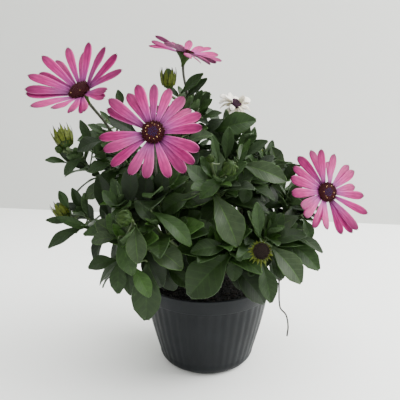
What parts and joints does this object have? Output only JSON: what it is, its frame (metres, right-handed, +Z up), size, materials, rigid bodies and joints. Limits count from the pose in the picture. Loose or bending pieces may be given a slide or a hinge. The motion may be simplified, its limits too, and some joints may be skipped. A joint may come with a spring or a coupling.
{
  "type": "potted osteospermum",
  "caption": "Shrubby osteospermum in bloom: pink daisy heads, buds and a dense leafy crown on branching stems, standing in a ribbed dark plastic plant pot.",
  "frame": {"origin": "centre of the pot's flat underside", "axes": "+Z up along the pot's axis, -Y towards the front, where the large front flower faces, +X to the right of that view"},
  "size_m": [0.2952, 0.2485, 0.32],
  "materials": {
    "pot": "satin",
    "potting_mix": "matte",
    "bark": "matte",
    "foliage": "satin",
    "blossom": "satin"
  },
  "bodies": {
    "root": {"pot": "pot", "soil": "potting_mix", "trunk": "bark", "bough_front_bloom": "bark", "bough_left_bloom": "bark", "bough_top_bloom": "bark", "bough_right_bloom": "bark", "bough_withered_bloom": "bark", "bough_left_bud_high": "bark", "bough_left_bud_low": "bark", "bough_front_left": "bark", "bough_front_centre": "bark", "bough_centre_bud": "bark", "bough_front_low": "bark", "bough_spent_head": "bark", "bough_right_high": "bark", "bough_back_left": "bark", "bough_back": "bark", "bough_back_right": "bark", "front_bloom": "foliage", "left_bloom": "foliage", "top_bloom": "foliage", "right_bloom": "foliage", "withered_bloom": "foliage", "left_bud_high": "foliage", "left_bud_low": "foliage", "front_left": "foliage", "front_centre": "foliage", "centre_bud": "foliage", "front_low": "foliage", "spent_head": "foliage", "right_high": "foliage", "back_left": "foliage", "back": "foliage", "back_right": "foliage"}
  },
  "joints": []
}
